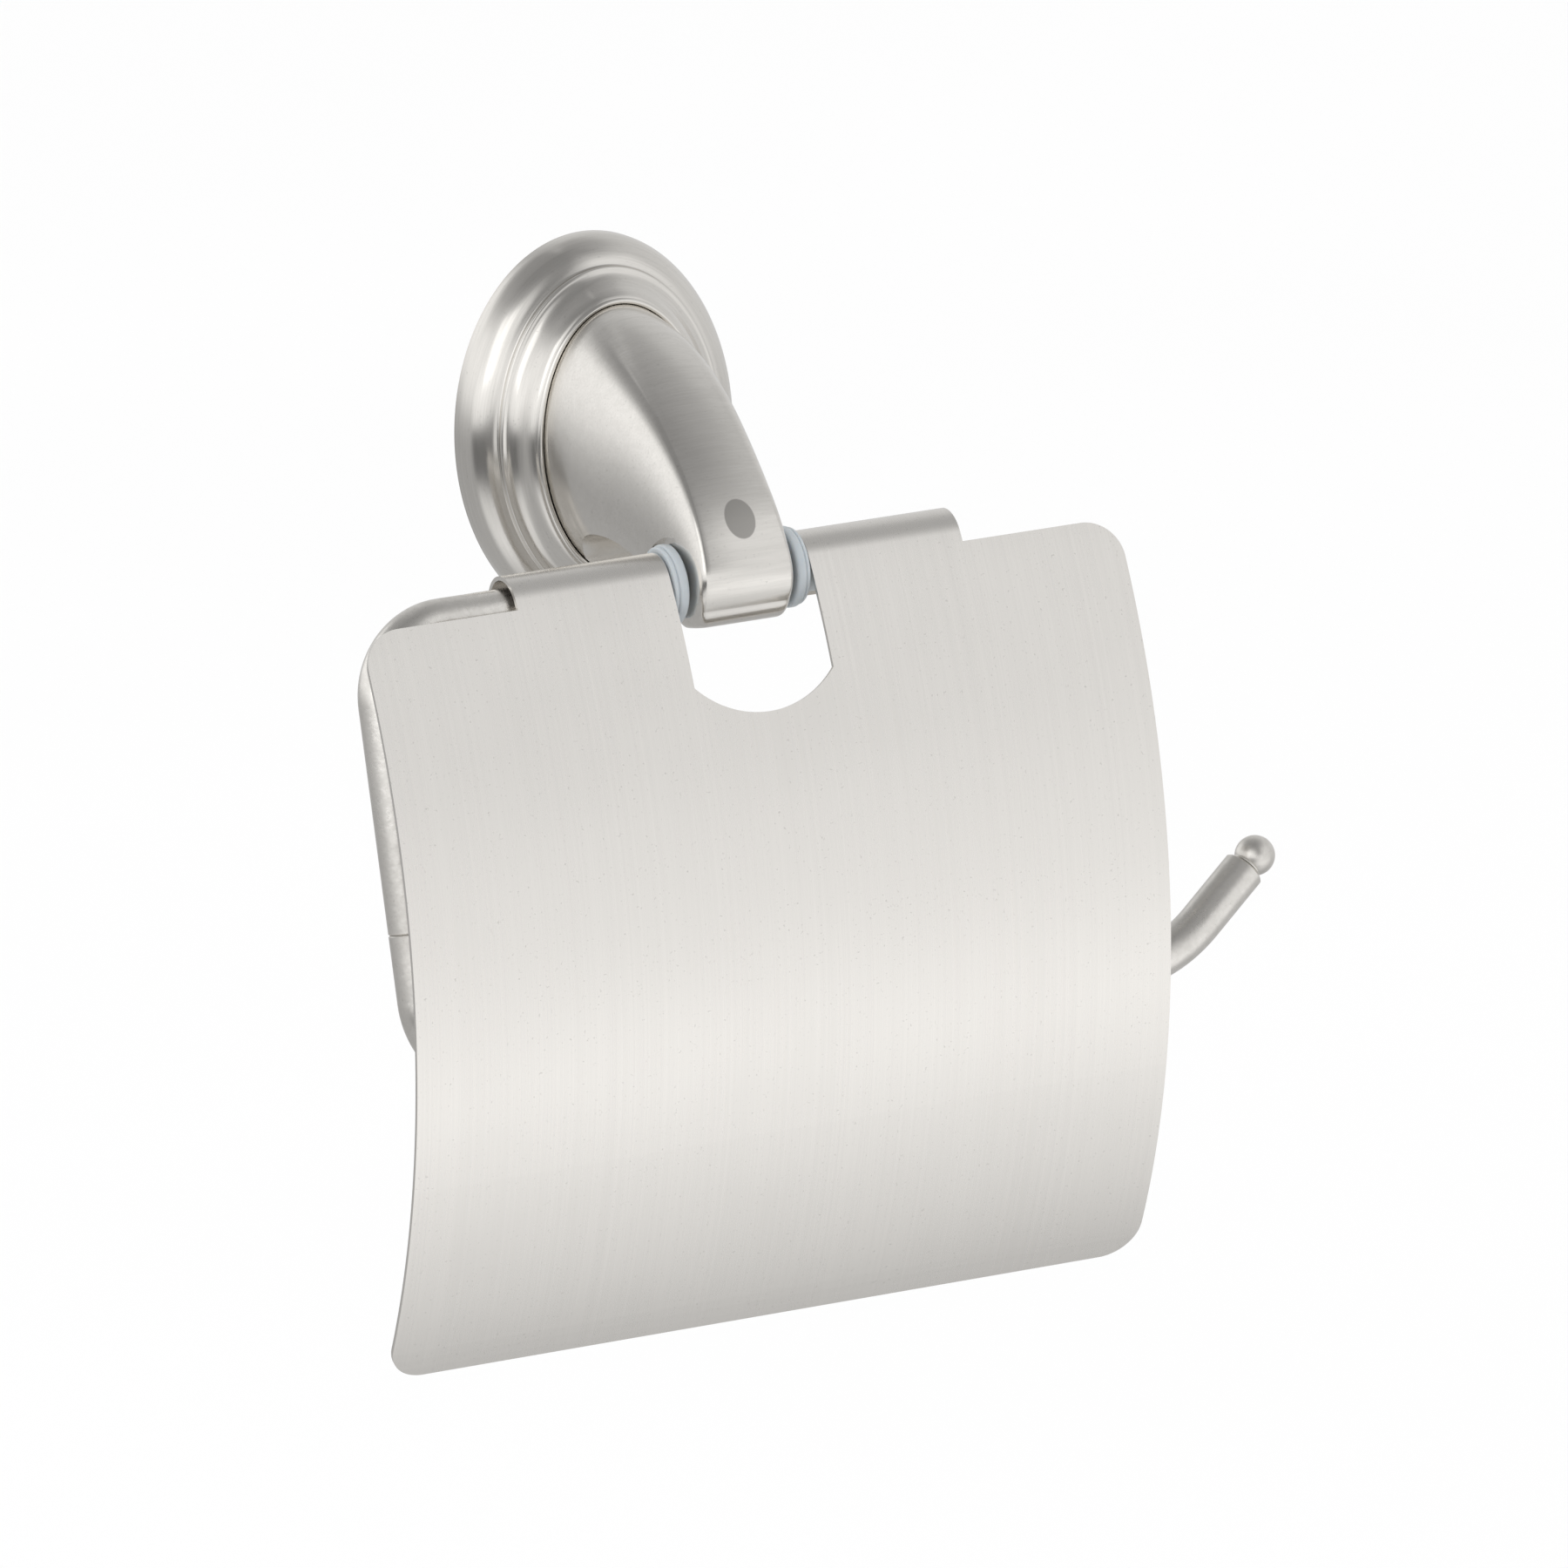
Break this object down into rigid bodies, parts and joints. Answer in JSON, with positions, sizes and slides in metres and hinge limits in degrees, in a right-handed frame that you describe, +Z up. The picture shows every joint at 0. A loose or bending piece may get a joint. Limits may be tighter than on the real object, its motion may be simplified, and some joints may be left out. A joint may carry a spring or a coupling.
{
  "type": "toilet paper holder",
  "caption": "Wall-mounted toilet paper holder: oval stepped rosette, curved arm, bent wire roll bar open at one end and a curved sheet cover hinged on the upper bar.",
  "frame": {"origin": "middle of the wall bracket's back face, on the wall plane, behind the rosette", "axes": "+X to the right along the wall, +Y into the wall, +Z up; the holder faces -Y and the roll bar opens towards +X"},
  "size_m": [0.1582, 0.0669, 0.171],
  "materials": {
    "satin_nickel": "brushed satin nickel plating",
    "plated_steel": "plain zinc-plated steel",
    "clear_plastic": "frosted bluish-white plastic"
  },
  "bodies": {
    "holder": {"wall_bracket": "plated_steel", "rosette": "satin_nickel", "rosette_grub_screw": "plated_steel", "arm": "satin_nickel", "arm_screw": "plated_steel", "hanger_bar": "satin_nickel", "bar_grub_screw": "plated_steel", "leg_stud": "plated_steel", "roll_bar": "satin_nickel", "ball_tip": "satin_nickel", "bush_left": "clear_plastic", "bush_right": "clear_plastic"},
    "cover": {"cover_flap": "satin_nickel"}
  },
  "joints": [
    {"name": "cover_hinge", "type": "hinge", "parent": "holder", "child": "cover", "pos_m": [0, -0.0478, -0.0161], "axis": [-1, 0, 0], "range_deg": [0, 140]}
  ]
}
